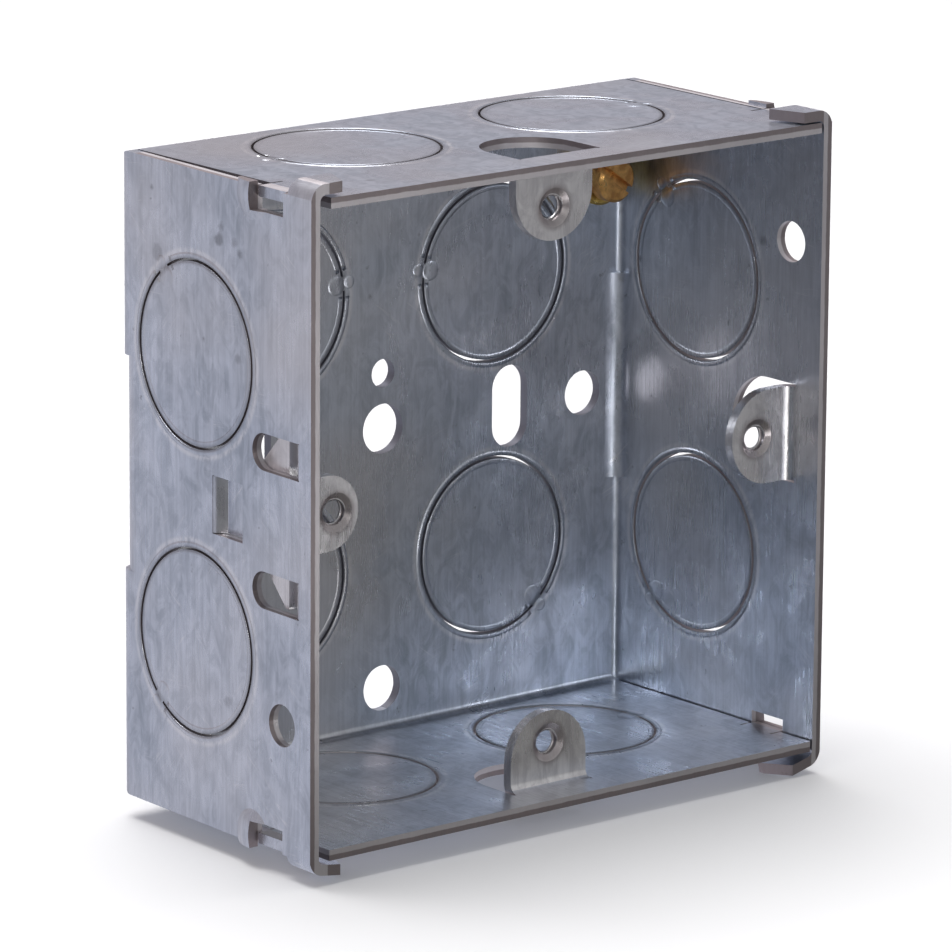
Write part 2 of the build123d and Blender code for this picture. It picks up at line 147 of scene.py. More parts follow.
room = bpy.data.worlds.new("room")
room.use_nodes = True
room_tree = room.node_tree
room_light = room_tree.nodes["Background"]
room_light.inputs["Strength"].default_value = 1.0
room_way = room_tree.nodes.new("ShaderNodeTexCoord")
room_axes = room_tree.nodes.new("ShaderNodeSeparateXYZ")
room_tree.links.new(room_way.outputs["Generated"], room_axes.inputs[0])
front_to_back = room_tree.nodes.new("ShaderNodeMapRange")
front_to_back.interpolation_type = "SMOOTHSTEP"
front_to_back.inputs["From Min"].default_value = -0.7
front_to_back.inputs["From Max"].default_value = 0.6
room_tree.links.new(room_axes.outputs["Y"], front_to_back.inputs["Value"])
room_colour = room_tree.nodes.new("ShaderNodeMix")
room_colour.data_type = "RGBA"
room_colour.inputs[6].default_value = (0.43, 0.44, 0.45, 1)
room_colour.inputs[7].default_value = (0.46, 0.43, 0.46, 1)
room_tree.links.new(front_to_back.outputs[0], room_colour.inputs["Factor"])
room_tree.links.new(room_colour.outputs[2], room_light.inputs["Color"])
bpy.context.scene.world = room


def soft_lamp(name, place, size, power, colour):
    """Square lamp that faces the middle of the box. Its power is in watts."""
    lamp_data = bpy.data.lights.new(name, "AREA")
    lamp_data.shape = "SQUARE"
    lamp_data.size = size
    lamp_data.energy = power
    lamp_data.color = colour
    lamp = bpy.data.objects.new(name, lamp_data)
    lamp.location = place
    lamp.rotation_mode = "QUATERNION"
    lamp.rotation_quaternion = (Vector(place) - AIM).to_track_quat("Z", "Y")
    bpy.context.scene.collection.objects.link(lamp)


soft_lamp("overhead lamp", (0.0, 0.25, 1.3), 1.0, 18.6, (1.0, 1.0, 1.0))
soft_lamp("front lamp", (-0.6, -0.78, 0.27), 0.2, 1.5, (1.0, 0.99, 0.97))

# %% [markdown]
# Every finish below is a small tree of shader nodes. These helpers keep the trees short to read: each
# one adds a node, joins its inputs to what is given (a number, a colour or another node's output), and
# hands back its output.

# %% Helpers for node trees


def feed(tree, socket, value):
    """Joins an output to a socket, or sets the socket's own value."""
    if isinstance(value, bpy.types.NodeSocket):
        tree.links.new(value, socket)
    elif value is not None:
        socket.default_value = value


def number(tree, operation, *values):
    """Math node."""
    node = tree.nodes.new("ShaderNodeMath")
    node.operation = operation
    for socket, value in zip(node.inputs, values):
        feed(tree, socket, value)
    return node.outputs[0]


def span(tree, value, low, high, to_low=0.0, to_high=1.0):
    """Map Range node with smooth ends, held at its limits."""
    node = tree.nodes.new("ShaderNodeMapRange")
    node.interpolation_type = "SMOOTHSTEP"
    for socket, given in zip(node.inputs, (value, low, high, to_low, to_high)):
        feed(tree, socket, given)
    return node.outputs[0]


def blend_colour(tree, share, first, second, mode="MIX"):
    """Mix node for colours. Its sockets 6 and 7 are the two colours, and its output 2 is the blend."""
    node = tree.nodes.new("ShaderNodeMix")
    node.data_type = "RGBA"
    node.blend_type = mode
    feed(tree, node.inputs["Factor"], share)
    feed(tree, node.inputs[6], first)
    feed(tree, node.inputs[7], second)
    return node.outputs[2]


def noise(tree, place, scale, detail=2.0, roughness=0.5, distortion=0.0):
    """Noise Texture node, its grey output."""
    node = tree.nodes.new("ShaderNodeTexNoise")
    feed(tree, node.inputs["Vector"], place)
    feed(tree, node.inputs["Scale"], scale)
    feed(tree, node.inputs["Detail"], detail)
    feed(tree, node.inputs["Roughness"], roughness)
    feed(tree, node.inputs["Distortion"], distortion)
    return node.outputs["Fac"]


def stretched(tree, place, factors):
    """A place with its three axes stretched by these factors."""
    node = tree.nodes.new("ShaderNodeVectorMath")
    node.operation = "MULTIPLY"
    feed(tree, node.inputs[0], place)
    feed(tree, node.inputs[1], factors)
    return node.outputs[0]


def axes_of(tree, vector):
    """The x, y and z of a vector."""
    node = tree.nodes.new("ShaderNodeSeparateXYZ")
    feed(tree, node.inputs[0], vector)
    return node.outputs[0], node.outputs[1], node.outputs[2]


def new_group(name, inputs, outputs):
    """Empty shader node group with named sockets, and its input and output nodes."""
    group = bpy.data.node_groups.new(name, "ShaderNodeTree")
    for label, kind, value in inputs:
        socket = group.interface.new_socket(label, in_out="INPUT", socket_type=kind)
        socket.default_value = value
    for label, kind in outputs:
        group.interface.new_socket(label, in_out="OUTPUT", socket_type=kind)
    entry = group.nodes.new("NodeGroupInput")
    result = group.nodes.new("NodeGroupOutput")
    return group, entry.outputs, result.inputs


def use_group(tree, group, **values):
    """Places a group in a tree; underscores in the names stand for spaces."""
    node = tree.nodes.new("ShaderNodeGroup")
    node.node_tree = group
    for label, value in values.items():
        feed(tree, node.inputs[label.replace("_", " ")], value)
    return node.outputs


FLOAT = "NodeSocketFloat"
VECTOR = "NodeSocketVector"

# %% [markdown]
# Rolled grain. The sheet was rolled in one direction before it was cut and folded, so fine streaks run
# up the back and the side walls, and front to back on the top and bottom walls, which fold the other
# way. A streak is noise stretched a long way along one axis. Two of them are mixed by which way the
# surface faces.

# %% Group: rolled grain
GRAIN_SCALE = 2600.0
grain, grain_in, grain_out = new_group(
    "rolled grain",
    [("Place", VECTOR, (0, 0, 0)), ("Facing", VECTOR, (0, 0, 1)), ("Fineness", FLOAT, 1.0)],
    [("Streaks", FLOAT), ("Broad Streaks", FLOAT)],
)
facing_z = number(grain, "ABSOLUTE", axes_of(grain, grain_in["Facing"])[2])
lies_flat = span(grain, facing_z, 0.5, 0.8)
for label, fineness, softness in (("Streaks", 1.0, 0.035), ("Broad Streaks", 0.22, 0.09)):
    scale = number(grain, "MULTIPLY", grain_in["Fineness"], GRAIN_SCALE * fineness)
    upright = stretched(grain, grain_in["Place"], (1.0, 1.0, softness))
    lengthwise = stretched(grain, grain_in["Place"], (1.0, softness, 1.0))
    on_walls = noise(grain, upright, scale, 3.0, 0.6)
    on_flats = noise(grain, lengthwise, scale, 3.0, 0.6)
    mixed = grain.nodes.new("ShaderNodeMix")
    feed(grain, mixed.inputs["Factor"], lies_flat)
    feed(grain, mixed.inputs[2], on_walls)
    feed(grain, mixed.inputs[3], on_flats)
    feed(grain, grain_out[label], mixed.outputs[0])
print("group:", grain.name, [s.name for s in grain.interface.items_tree])

# %% [markdown]
# Knockout marks. A press shears each disc and pushes it back, which rolls the disc's edge over and
# leaves a faint second line in the sheet round it. The solids have the sheared gap. The group finds how
# far a point lies from the ring, using the same pattern on every wall, so that bump and colour can
# follow the edge: the colour puts painted shade on the rolled edge and a painted highlight on the
# second line.

# %% Group: knockout marks
RING_RADIUS = 10.3 * MM
RING_PITCH = 16.0 * MM
RING_DEPTH = -14.6 * MM
SQUARE_ON = 0.7  # share of the surface's facing that says which wall it is
rings, rings_in, rings_out = new_group(
    "knockout marks",
    [("Place", VECTOR, (0, 0, 0)), ("Facing", VECTOR, (0, 0, 1))],
    [("Roll Over", FLOAT), ("Second Line Highlight", FLOAT), ("Tie", FLOAT)],
)
px, py, pz = axes_of(rings, rings_in["Place"])
fx, _, fz = (number(rings, "ABSOLUTE", f) for f in axes_of(rings, rings_in["Facing"]))
across_x = number(rings, "SUBTRACT", number(rings, "ABSOLUTE", px), RING_PITCH)
across_z = number(rings, "SUBTRACT", number(rings, "ABSOLUTE", pz), RING_PITCH)
along_y = number(rings, "SUBTRACT", py, RING_DEPTH)


def reach(first, second):
    """Distance from the middle of a knockout, from two offsets."""
    squares = [number(rings, "MULTIPLY", one, one) for one in (first, second)]
    return number(rings, "SQRT", number(rings, "ADD", *squares))


def choose(tree, mask, chosen, other):
    """One value where the mask is 1 and another where it is 0."""
    node = tree.nodes.new("ShaderNodeMix")
    feed(tree, node.inputs["Factor"], mask)
    feed(tree, node.inputs[2], other)
    feed(tree, node.inputs[3], chosen)
    return node.outputs[0]


on_side = number(rings, "GREATER_THAN", fx, SQUARE_ON)
on_top = number(rings, "GREATER_THAN", fz, SQUARE_ON)
from_middle = choose(rings, on_side, reach(along_y, across_z), reach(across_x, across_z))
from_middle = choose(rings, on_top, reach(across_x, along_y), from_middle)
from_ring = number(rings, "SUBTRACT", from_middle, RING_RADIUS)
inner_edge = span(rings, from_ring, -0.75 * MM, -0.1 * MM, 0.0, 1.0)
outer_edge = span(rings, from_ring, 0.6 * MM, 0.1 * MM, 0.0, 1.0)
inside = number(rings, "LESS_THAN", from_ring, 0.0)
feed(rings, rings_out["Roll Over"], choose(rings, inside, inner_edge, outer_edge))
# the band of the second line, which the zinc paints as a highlight
ridge_gap = number(rings, "ABSOLUTE", number(rings, "SUBTRACT", from_ring, 1.0 * MM))
feed(rings, rings_out["Second Line Highlight"], span(rings, ridge_gap, 0.5 * MM, 0.0))


def tie_marks(across, along, ties):
    """Dimples where the discs of one wall are left tied: 1 in the middle, 0 beyond the rim."""
    total = 0.0
    for middle_across, middle_along, angle in ties:
        spot_across = middle_across * MM + RING_RADIUS * math.cos(math.radians(angle))
        spot_along = middle_along * MM + RING_RADIUS * math.sin(math.radians(angle))
        gap = reach(
            number(rings, "SUBTRACT", across, spot_across),
            number(rings, "SUBTRACT", along, spot_along),
        )
        total = number(rings, "ADD", total, span(rings, gap, 1.35 * MM, 0.35 * MM))
    return total


BACK_TIES = [(16, 16, 172), (16, -16, -48), (-16, 16, 8), (-16, -16, 228)]
SIDE_TIES = [(-14.6, 16, 55), (-14.6, -16, -48)]
FLAT_TIES = [(-16, -14.6, 180), (16, -14.6, 0)]
dimples = choose(rings, on_side, tie_marks(py, pz, SIDE_TIES), tie_marks(px, pz, BACK_TIES))
dimples = choose(rings, on_top, tie_marks(px, py, FLAT_TIES), dimples)
feed(rings, rings_out["Tie"], dimples)
print("group:", rings.name)

# %% [markdown]
# Cut edges. Where the sheet was sheared, no zinc covers it and the steel is darker, with a purple brown
# tint. A point is on a cut edge if it lies within the thickness of a wall but the surface faces along
# that wall, as the inside of a hole or the front rim does. Comparing the place with the wall's planes
# gives the mask without marking any face by hand. The cut faces in the back, the walls of its holes,
# get a mask of their own, which the zinc uses for painted shade.

# %% Group: cut edges
HALF_WIDTH = 36.25 * MM
SHEET = 1.2 * MM
LEAN = 1.15 / 35.5  # the left wall leans out by so much over its depth
FOLD = 3.4 * MM  # the folds end so far from a wall's outer face
SLACK = 0.06 * MM
EDGE_ON = 0.3  # a cut face looks across its wall by less than this share
edges, edges_in, edges_out = new_group(
    "cut edges",
    [("Place", VECTOR, (0, 0, 0)), ("Facing", VECTOR, (0, 0, 1))],
    [("Cut", FLOAT), ("Burnished", FLOAT), ("Back Cut Shade", FLOAT)],
)
px, py, pz = axes_of(edges, edges_in["Place"])
fx, fy, fz = axes_of(edges, edges_in["Facing"])
far_x, far_z = (number(edges, "ABSOLUTE", p) for p in (px, pz))
turned_x, turned_y, turned_z = (number(edges, "ABSOLUTE", f) for f in (fx, fy, fz))


def both(*masks):
    """1 where every mask is 1."""
    result = masks[0]
    for mask in masks[1:]:
        result = number(edges, "MULTIPLY", result, mask)
    return result


in_side_wall = number(edges, "GREATER_THAN", far_x, HALF_WIDTH - SHEET - SLACK)
in_flat_wall = number(edges, "GREATER_THAN", far_z, HALF_WIDTH - SHEET - SLACK)
in_back = number(edges, "GREATER_THAN", py, -SHEET - SLACK)
past_fold = number(edges, "LESS_THAN", py, -FOLD)
not_in_fold = both(
    number(edges, "LESS_THAN", far_x, HALF_WIDTH - FOLD),
    number(edges, "LESS_THAN", far_z, HALF_WIDTH - FOLD),
)
cut_side = both(in_side_wall, past_fold, number(edges, "LESS_THAN", turned_x, EDGE_ON))
cut_flat = both(
    in_flat_wall,
    past_fold,
    number(edges, "LESS_THAN", turned_z, EDGE_ON),
    number(edges, "SUBTRACT", 1.0, in_side_wall),
)
cut_back = both(in_back, not_in_fold, number(edges, "LESS_THAN", turned_y, EDGE_ON))
# cut faces in the back, kept apart for painted shade
feed(edges, edges_out["Back Cut Shade"], cut_back)
cut_sum = number(edges, "ADD", number(edges, "ADD", cut_side, cut_flat), cut_back)
feed(edges, edges_out["Cut"], number(edges, "MINIMUM", cut_sum, 1.0))
on_left = number(edges, "LESS_THAN", px, 0.0)
leant = number(edges, "MULTIPLY", number(edges, "MULTIPLY", py, on_left), LEAN)
side_depth = number(edges, "SUBTRACT", number(edges, "SUBTRACT", HALF_WIDTH, leant), far_x)
flat_depth = number(edges, "SUBTRACT", HALF_WIDTH, far_z)
edge_depth = choose(edges, in_side_wall, side_depth, flat_depth)
wander = noise(edges, edges_in["Place"], 500.0, 3.0, 0.6)
tear = number(edges, "MULTIPLY_ADD", wander, 0.24 * MM, 0.48 * MM)
tear_gap = number(edges, "SUBTRACT", edge_depth, tear)
feed(edges, edges_out["Burnished"], span(edges, tear_gap, -0.06 * MM, 0.06 * MM))
print("group:", edges.name)

# %% [markdown]
# Handling marks. A box like this one rattles in a carton with others, so its zinc has dark specks,
# short scratches in every direction and duller patches. Specks are the rare peaks of a fine noise. A
# scratch is a thin band of a stretched noise, kept only where a slower noise allows it.

# %% Group: handling marks
marks, marks_in, marks_out = new_group(
    "handling marks",
    [("Place", VECTOR, (0, 0, 0)), ("Amount", FLOAT, 1.0)],
    [
        ("Specks", FLOAT),
        ("Scratches", FLOAT),
        ("Patches", FLOAT),
        ("Smears", FLOAT),
        ("Waves", FLOAT),
    ],
)
speck_noise = noise(marks, marks_in["Place"], 620.0, 3.0, 0.65)
specks = span(marks, speck_noise, 0.68, 0.78)
feed(marks, marks_out["Specks"], number(marks, "MULTIPLY", specks, marks_in["Amount"]))


def scratch_set(angles, seed):
    """Thin lines that run one way, broken up by a slower noise."""
    turned = marks.nodes.new("ShaderNodeMapping")
    turned.inputs["Rotation"].default_value = angles
    turned.inputs["Location"].default_value = (seed, seed * 0.7, seed * 1.3)
    feed(marks, turned.inputs["Vector"], marks_in["Place"])
    lines = noise(marks, stretched(marks, turned.outputs[0], (1.0, 0.02, 0.02)), 2400.0, 1.0)
    thin = span(marks, number(marks, "ABSOLUTE", number(marks, "SUBTRACT", lines, 0.5)), 0.012, 0.0)
    allowed = span(marks, noise(marks, turned.outputs[0], 160.0, 2.0), 0.56, 0.66)
    return number(marks, "MULTIPLY", thin, allowed)


scratches = scratch_set((0.4, 0.9, 0.3), 0.11)
for angles, seed in (((1.2, 0.2, -0.7), 0.37), ((-0.6, -0.5, 1.3), 0.73)):
    scratches = number(marks, "MAXIMUM", scratches, scratch_set(angles, seed))
feed(marks, marks_out["Scratches"], number(marks, "MULTIPLY", scratches, marks_in["Amount"]))
patches = noise(marks, marks_in["Place"], 75.0, 4.0, 0.6, 0.8)
feed(marks, marks_out["Patches"], span(marks, patches, 0.33, 0.67))
smears = stretched(marks, marks_in["Place"], (1.0, 1.0, 0.5))
feed(marks, marks_out["Smears"], span(marks, noise(marks, smears, 420.0, 4.0, 0.68, 1.4), 0.36, 0.62))
feed(marks, marks_out["Waves"], noise(marks, marks_in["Place"], 95.0, 2.0, 0.5, 0.5))
print("group:", marks.name)

# %% [markdown]
# Stains. A few marks are too particular for noise: the smudges above a knockout on the left, nicks on
# the rings, a smear on the top. Each has its own place and size, and one noise frays all their rims.

# %% Group: stains
STAINS = [
    # place in mm, radius in mm, strength
    ((-36.9, -19.0, 29.3), 0.8, 0.5),
    ((-37.0, -21.7, 29.3), 0.6, 0.35),
    ((-37.0, -22.6, 28.4), 0.5, 0.4),
    ((-36.9, -19.3, 30.8), 0.5, 0.4),
    ((-36.5, -6.4, 33.0), 0.3, 0.5),
    ((-36.9, -22.3, 17.0), 0.5, 0.3),
    ((-36.8, -16.0, 18.0), 0.2, 0.6),
    ((-36.6, -7.5, 26.0), 1.0, 0.3),
    ((-36.9, -20.5, -21.5), 0.7, 0.25),
    ((35.0, -4.7, 15.7), 0.35, 0.7),
    ((35.0, -1.7, 12.9), 0.6, 0.35),
    ((35.0, -25.7, 21.3), 0.5, 0.4),
    ((-1.9, -1.2, 15.5), 0.2, 0.5),
    ((6.7, -1.2, 21.5), 0.6, 0.3),
    ((-25.5, -30.5, 36.2), 0.6, 0.35),
    ((0.0, -22.0, -35.1), 0.9, 0.3),
]
stains, stains_in, stains_out = new_group(
    "stains", [("Place", VECTOR, (0, 0, 0))], [("Stain", FLOAT)]
)
fray = number(stains, "MULTIPLY", noise(stains, stains_in["Place"], 700.0, 3.0, 0.65), 1.4 * MM)
stain_sum = 0.0
for spot, radius, strength in STAINS:
    gap = stains.nodes.new("ShaderNodeVectorMath")
    gap.operation = "DISTANCE"
    feed(stains, gap.inputs[0], stains_in["Place"])
    feed(stains, gap.inputs[1], [v * MM for v in spot])
    frayed = number(stains, "ADD", gap.outputs["Value"], fray)
    spread = span(stains, frayed, (radius + 0.9) * MM, (radius + 0.3) * MM, 0.0, strength)
    stain_sum = number(stains, "MAXIMUM", stain_sum, spread)
feed(stains, stains_out["Stain"], stain_sum)
print("stains:", len(STAINS))

# %% [markdown]
# The zinc itself is a metal with a blue grey tint. Streaks, smears and patches change its colour and
# roughness a little, scratches shine, and the bare cut edges take over the colour where the mask says
# so; the cut faces in the back are darkened further as painted shade. The rolled edges of the
# knockouts get painted shade, and the second line round each knockout a painted highlight. The lugs
# are rubbed brighter, except round their tapped mouths. One Bump node carries the streaks, the slow
# waves of the sheet and the rolled-over edges of the knockouts, with heights in millimetres.

# %% Material: zinc
WARM_ZINC = (0.68, 0.665, 0.68, 1)  # the left part of the back and some patches
RUBBED_LOW = (0.66, 0.64, 0.65, 1)
# pale of the rubbed lugs and the scratches, also used as the painted highlight on the second line round
# each knockout
RUBBED_HIGH_AND_HIGHLIGHT = (0.93, 0.91, 0.91, 1)
LUG_REAR = -29.3 * MM  # y behind which nothing belongs to a lug
HOLE_FROM_MIDDLE = 30.15 * MM  # half the pitch of the faceplate screws
LOOSE_LUG_LEVEL = 0.6 * MM  # z of the loose lug's hole
# dark grey of the specks and stains, also used as painted shade along the knockout edges
SPECK_AND_SHADE_GREY = (0.10, 0.10, 0.11, 1)
BARE_STEEL = (0.66, 0.62, 0.63, 1)
TORN_STEEL = (0.30, 0.25, 0.25, 1)
# painted shade: the walls of the holes in the back are drawn darker than bare steel
BACK_CUT_PAINTED_SHADE = (0.17, 0.17, 0.20, 1)


def inside_walls(tree, place):
    """1 where a point lies within the four walls, as the lugs do, and 0 in the walls."""
    x, _, z = axes_of(tree, place)
    far = number(tree, "MAXIMUM", number(tree, "ABSOLUTE", x), number(tree, "ABSOLUTE", z))
    return number(tree, "LESS_THAN", far, HALF_WIDTH - SHEET - 0.3 * MM)


def around_holes(tree, place, level):
    """1 in the tapped mouths of the lugs, which stand alike on four sides, fading to 0 round them."""
    x, _, z = axes_of(tree, place)
    x, z = number(tree, "ABSOLUTE", x), number(tree, "ABSOLUTE", number(tree, "SUBTRACT", z, level))
    along = number(tree, "SUBTRACT", number(tree, "MAXIMUM", x, z), HOLE_FROM_MIDDLE)
    beside = number(tree, "MINIMUM", x, z)
    squares = [number(tree, "MULTIPLY", one, one) for one in (along, beside)]
    from_axis = number(tree, "SQRT", number(tree, "ADD", *squares))
    return span(tree, from_axis, 2.9 * MM, 1.9 * MM)


def zinc_finish(name, pale, dark, roughness, marks_amount, cut_share, lug_level):
    """Rolled zinc in two tones, with its marks. Metallic stays a plain number on the shader."""
    material = bpy.data.materials.new(name)
    material.use_nodes = True
    tree = material.node_tree
    surface = tree.nodes["Principled BSDF"]
    surface.inputs["Metallic"].default_value = 1.0
    here = tree.nodes.new("ShaderNodeTexCoord")
    place, facing = here.outputs["Object"], here.outputs["Normal"]
    streaks = use_group(tree, grain, Place=place, Facing=facing, Fineness=1.0)
    handled = use_group(tree, marks, Place=place, Amount=marks_amount)
    knocked = use_group(tree, rings, Place=place, Facing=facing)
    sheared = use_group(tree, edges, Place=place, Facing=facing)
    cut = number(tree, "MULTIPLY", sheared["Cut"], cut_share)

    tone = number(tree, "MULTIPLY", span(tree, streaks["Broad Streaks"], 0.3, 0.7), 0.2)
    tone = number(tree, "MULTIPLY_ADD", handled["Patches"], 0.38, tone)
    tone = number(tree, "MULTIPLY_ADD", handled["Smears"], 0.42, tone)
    zinc = blend_colour(tree, tone, dark, pale)
    to_left = number(tree, "MULTIPLY", axes_of(tree, place)[0], -8.0)
    to_left = number(tree, "MULTIPLY", to_left, number(tree, "ABSOLUTE", axes_of(tree, facing)[1]))
    warm = number(tree, "ADD", noise(tree, place, 38.0, 2.0), to_left)
    warmth = number(tree, "MULTIPLY", span(tree, warm, 0.36, 0.74), 0.75)
    zinc = blend_colour(tree, warmth, zinc, WARM_ZINC)
    rubbing = number(tree, "MULTIPLY", span(tree, streaks["Streaks"], 0.3, 0.7), 0.3)
    rubbing = number(tree, "MULTIPLY_ADD", handled["Smears"], 0.7, rubbing)
    rubbed = blend_colour(tree, rubbing, RUBBED_LOW, RUBBED_HIGH_AND_HIGHLIGHT)
    worn_mouth = number(tree, "MULTIPLY", around_holes(tree, place, lug_level), 0.7)
    rubbed = blend_colour(tree, worn_mouth, rubbed, TORN_STEEL)
    lined = span(tree, streaks["Streaks"], 0.35, 0.65, 0.95, 1.04)
    shade = tree.nodes.new("ShaderNodeCombineXYZ")
    for socket in shade.inputs:
        feed(tree, socket, lined)
    zinc = blend_colour(tree, 1.0, zinc, shade.outputs[0], "MULTIPLY")
    zinc = blend_colour(tree, number(tree, "MULTIPLY", handled["Specks"], 0.45), zinc, SPECK_AND_SHADE_GREY)
    broken = span(tree, handled["Smears"], 0.0, 0.8, 0.35, 1.0)
    # painted shade: the rolled edges of the knockouts are darkened, broken up by the smears
    ring_edge_painted_shade = number(tree, "MULTIPLY", number(tree, "MULTIPLY", knocked["Roll Over"], broken), 0.5)
    zinc = blend_colour(tree, ring_edge_painted_shade, zinc, SPECK_AND_SHADE_GREY)
    # painted highlight on the faint second line round each knockout
    ring_painted_highlight = number(tree, "MULTIPLY", number(tree, "MULTIPLY", knocked["Second Line Highlight"], broken), 0.45)
    zinc = blend_colour(tree, ring_painted_highlight, zinc, RUBBED_HIGH_AND_HIGHLIGHT)
    zinc = blend_colour(tree, number(tree, "MULTIPLY", handled["Scratches"], 0.3), zinc, RUBBED_HIGH_AND_HIGHLIGHT)
    zinc = blend_colour(tree, use_group(tree, stains, Place=place)["Stain"], zinc, SPECK_AND_SHADE_GREY)
    on_lug = number(tree, "LESS_THAN", axes_of(tree, place)[1], LUG_REAR)
    on_lug = number(tree, "MULTIPLY", on_lug, inside_walls(tree, place))
    zinc = blend_colour(tree, on_lug, zinc, rubbed)
    steel = blend_colour(tree, sheared["Burnished"], TORN_STEEL, BARE_STEEL)
    # painted shade on the cut faces in the back
    steel = blend_colour(tree, sheared["Back Cut Shade"], steel, BACK_CUT_PAINTED_SHADE)
    zinc = blend_colour(tree, number(tree, "MULTIPLY", cut, 0.9), zinc, steel)
    feed(tree, surface.inputs["Base Color"], zinc)

    gloss = span(tree, handled["Patches"], 0.0, 1.0, roughness + 0.06, roughness - 0.04)
    gloss = number(tree, "ADD", gloss, span(tree, streaks["Streaks"], 0.3, 0.7, 0.03, -0.03))
    gloss = number(tree, "ADD", gloss, number(tree, "MULTIPLY", handled["Specks"], 0.15))
    gloss = number(tree, "ADD", gloss, number(tree, "MULTIPLY", cut, 0.18))
    feed(tree, surface.inputs["Roughness"], gloss)

    depths = (
        (streaks["Streaks"], 0.005),
        (streaks["Broad Streaks"], 0.008),
        (handled["Waves"], 0.25),
        (handled["Smears"], 0.006),
        (knocked["Roll Over"], -0.04),
        (knocked["Tie"], -0.05),
    )
    relief = 0.0
    for share, depth in depths:
        relief = number(tree, "MULTIPLY_ADD", share, depth, relief)
    bump = tree.nodes.new("ShaderNodeBump")
    bump.inputs["Strength"].default_value = 1.0
    bump.inputs["Distance"].default_value = 1.0 * MM
    feed(tree, bump.inputs["Height"], relief)
    feed(tree, surface.inputs["Normal"], bump.outputs[0])
    print("material:", name, "nodes:", len(tree.nodes))
    return material


sheet_zinc = zinc_finish(
    "rolled zinc sheet", (0.69, 0.73, 0.82, 1), (0.38, 0.42, 0.485, 1), 0.30, 1.0, 1.0, 0.0
)
lug_zinc = zinc_finish(
    "loose lug zinc", (0.84, 0.82, 0.82, 1), (0.66, 0.64, 0.65, 1), 0.30, 0.5, 0.0, LOOSE_LUG_LEVEL
)

# %% [markdown]
# The earth terminal is brass that has gone dull. Turned brass shows fine rings, and the screw's head is
# redder and darker where fingers and drivers have been. Both share one recipe with their own tones.

# %% Material: brass


def brass_finish(name, bright, dull, roughness):
    """Dull turned brass in two tones."""
    material = bpy.data.materials.new(name)
    material.use_nodes = True
    tree = material.node_tree
    surface = tree.nodes["Principled BSDF"]
    surface.inputs["Metallic"].default_value = 1.0
    place = tree.nodes.new("ShaderNodeTexCoord").outputs["Object"]
    cloud = noise(tree, place, 700.0, 4.0, 0.6, 0.4)
    tones = blend_colour(tree, span(tree, cloud, 0.35, 0.65), bright, dull)
    feed(tree, surface.inputs["Base Color"], tones)
    feed(tree, surface.inputs["Roughness"], span(tree, cloud, 0.3, 0.7, roughness, roughness + 0.2))
    bump = tree.nodes.new("ShaderNodeBump")
    bump.inputs["Strength"].default_value = 1.0
    bump.inputs["Distance"].default_value = 0.01 * MM
    feed(tree, bump.inputs["Height"], noise(tree, place, 1500.0, 2.0))
    feed(tree, surface.inputs["Normal"], bump.outputs[0])
    return material


bush_brass = brass_finish("dull brass", (0.92, 0.66, 0.20, 1), (0.55, 0.36, 0.10, 1), 0.24)
screw_brass = brass_finish("handled brass", (0.90, 0.52, 0.18, 1), (0.50, 0.24, 0.08, 1), 0.26)

# %% Dress the nodes of the model
DRESSES = {
    "box_shell": sheet_zinc,
    "adjustable_lug": lug_zinc,
    "earth_bush": bush_brass,
    "earth_screw": screw_brass,
}
for name, material in DRESSES.items():
    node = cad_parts[name]
    for slot in node.material_slots:
        slot.material = material
    print(name, "wears", material.name)

# %% [markdown]
# The thin things that are added below, ridges and threads, are all made the same way: a small closed
# outline is repeated along a path, each copy is joined to the next, and both ends are closed.

# %% Helpers for added pieces


def sweep(form, rows):
    """Joins closed outlines one after another into a solid and closes its two ends."""
    corners = [[form.verts.new(point) for point in row] for row in rows]
    count = len(corners[0])
    for first, second in zip(corners, corners[1:]):
        for j in range(count):
            k = (j + 1) % count
            form.faces.new((first[j], first[k], second[k], second[j]))
    form.faces.new(corners[0])
    form.faces.new(corners[-1][::-1])


def add_piece(name, form, material, body, place):
    """Turns a finished form into a smooth piece that rides on a body."""
    bmesh.ops.recalc_face_normals(form, faces=form.faces)
    mesh = bpy.data.meshes.new(name)
    form.to_mesh(mesh)
    form.free()
    mesh.shade_smooth()
    mesh.materials.append(material)
    piece = bpy.data.objects.new(name, mesh)
    piece.location = place
    bpy.context.scene.collection.objects.link(piece)
    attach(piece, body)
    print(piece.name, "faces:", len(mesh.polygons))


# %% [markdown]
# Shearing a disc rolls the metal up on both sides of the gap. So each knockout gets a low ridge in the
# sheet round it and a lower one on its own rim, both broken at the tie, and the tie itself is squeezed
# into two low bumps. Every wall is given as its middle, the two ways along it, and the way its surface
# faces.

# %% Knockout ridges
# outlines of the two ridges: distance from the disc's middle and height above the surface, in mm
RIDGE = ((10.47, -0.03), (10.54, 0.05), (10.68, 0.085), (10.86, 0.05), (11.08, 0.0), (11.10, -0.03))
RIM = ((10.13, -0.03), (10.06, 0.02), (9.93, 0.045), (9.74, 0.025), (9.50, 0.0), (9.48, -0.03))
RIDGE_STEPS = 90
RIDGE_END = 0.2  # share of its height that a ridge has left beside the tie
RIDGE_SLOPE = 10.0
TIE_HALF_ANGLE = 8.0
BUMPS = ((11.1, 0.8, 0.07), (9.3, 1.2, 0.08))  # distance from the disc's middle, radius, height, in mm
BUMP_SHAPE = ((0.95, 0.1), (0.7, 0.55), (0.4, 0.88), (0.1, 1.0))  # shares of its radius and height
BUMP_STEPS = 20
SUNK = 0.03  # how far the outlines start below the surface, so that no slit shows
lean_angle = math.atan(LEAN)
LEFT_OUT = Vector((-math.cos(lean_angle), math.sin(lean_angle), 0))
TO_BACK = Vector((math.sin(lean_angle), math.cos(lean_angle), 0))
ALONG_X, ALONG_Y, ALONG_Z = Vector((1, 0, 0)), Vector((0, 1, 0)), Vector((0, 0, 1))
LEFT_MIDDLE = Vector((-HALF_WIDTH, 0, 0))
